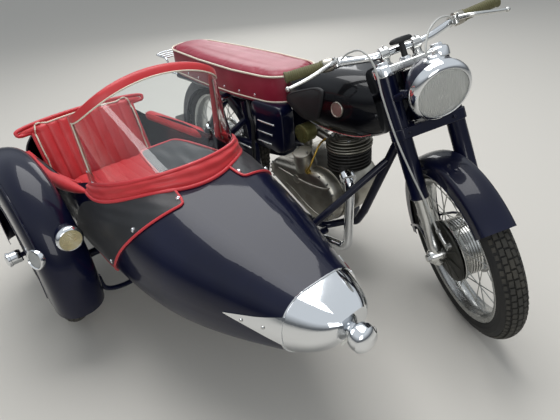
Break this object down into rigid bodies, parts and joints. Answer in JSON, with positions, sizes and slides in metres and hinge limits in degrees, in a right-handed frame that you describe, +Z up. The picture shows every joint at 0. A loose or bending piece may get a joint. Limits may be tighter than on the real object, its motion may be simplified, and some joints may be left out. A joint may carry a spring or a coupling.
{
  "type": "sidecar motorcycle",
  "caption": "Motorcycle with a hollow sidecar: turning fork and wheels, sprung dual seat, finned engine, bowed windscreen, apron, folding backrest and rear rack.",
  "frame": {"origin": "on the ground under the middle of the whole outfit's bounding box", "axes": "+X forward along the frame, +Y to the rider's left, away from the sidecar, +Z up"},
  "size_m": [2.1912, 1.5584, 1.0408],
  "materials": {
    "navy_enamel": "gloss enamel",
    "black_rubber": "matt",
    "chrome": "polished",
    "burgundy_vinyl": "satin vinyl",
    "red_lens": "moulded lens",
    "plate_paint": "blank plate",
    "cast_aluminium": "satin casting",
    "dark_iron": "dark casting",
    "black_vinyl": "satin vinyl",
    "red_vinyl": "satin vinyl",
    "clear_acrylic": "clear sheet",
    "amber_lens": "ribbed lens",
    "khaki_rubber": "matt",
    "lamp_glass": "ribbed glass",
    "brushed_rim": "silver rims, hub and bright spokes",
    "tyre": "matt"
  },
  "bodies": {
    "root": {"main_frame": "navy_enamel", "rear_fork": "navy_enamel", "rear_shocks": "navy_enamel", "fuel_tank": "navy_enamel", "knee_pads": "black_rubber", "filler_cap": "chrome", "dual_seat": "burgundy_vinyl", "rear_mudguard": "navy_enamel", "luggage_rack": "chrome", "rear_lamp": "red_lens", "number_plate": "plate_paint", "tool_boxes": "navy_enamel", "rear_covers": "navy_enamel", "crankcase": "cast_aluminium", "cylinder_barrel": "dark_iron", "cylinder_head": "cast_aluminium", "carburettor": "cast_aluminium", "exhaust_pipe": "chrome", "silencer": "chrome", "chain_case": "navy_enamel", "foot_controls": "black_rubber", "sidecar_body": "navy_enamel", "nose_cap": "chrome", "bullet_lamp": "chrome", "apron": "black_vinyl", "scuttle_band": "red_vinyl", "windscreen": "clear_acrylic", "screen_binding": "red_vinyl", "seat_cushion": "red_vinyl", "armrests": "red_vinyl", "sidecar_chassis": "navy_enamel", "sidecar_struts": "navy_enamel", "sidecar_mudguard": "navy_enamel", "mudguard_lamp": "amber_lens"},
    "fork": {"fork_sliders": "cast_aluminium", "fork_shrouds": "navy_enamel", "top_yoke": "cast_aluminium", "damper_knob": "black_rubber", "handlebar": "chrome", "grips": "khaki_rubber", "control_levers": "chrome", "headlamp_shell": "navy_enamel", "headlamp_rim": "chrome", "headlamp_lens": "lamp_glass", "front_mudguard": "navy_enamel", "front_brake_plate": "cast_aluminium"},
    "front_wheel": {"front_wheel": "brushed_rim", "front_tyre": "tyre"},
    "rear_wheel": {"rear_wheel": "brushed_rim", "rear_tyre": "tyre"},
    "sidecar_wheel": {"sidecar_wheel": "brushed_rim", "sidecar_tyre": "tyre"},
    "backrest": {"backrest": "red_vinyl"}
  },
  "joints": [
    {"name": "steering", "type": "hinge", "parent": "root", "child": "fork", "pos_m": [0.77674, 0.4158, 0.30993], "axis": [-0.3907, 0, 0.9205], "range_deg": [-5, 67]},
    {"name": "front_wheel_spin", "type": "hinge", "parent": "fork", "child": "front_wheel", "pos_m": [0.80514, 0.39726, 0.32199], "axis": [0.4741, 0.8572, 0.2012], "continuous": true},
    {"name": "rear_wheel_spin", "type": "hinge", "parent": "root", "child": "rear_wheel", "pos_m": [-0.59012, 0.4158, 0.324], "axis": [0, 1, 0], "continuous": true},
    {"name": "sidecar_wheel_spin", "type": "hinge", "parent": "root", "child": "sidecar_wheel", "pos_m": [-0.33512, -0.65419, 0.324], "axis": [0, 1, 0], "continuous": true},
    {"name": "backrest_fold", "type": "hinge", "parent": "root", "child": "backrest", "pos_m": [-0.67512, -0.2242, 0.34], "axis": [0, 1, 0], "range_deg": [0, 30]}
  ]
}
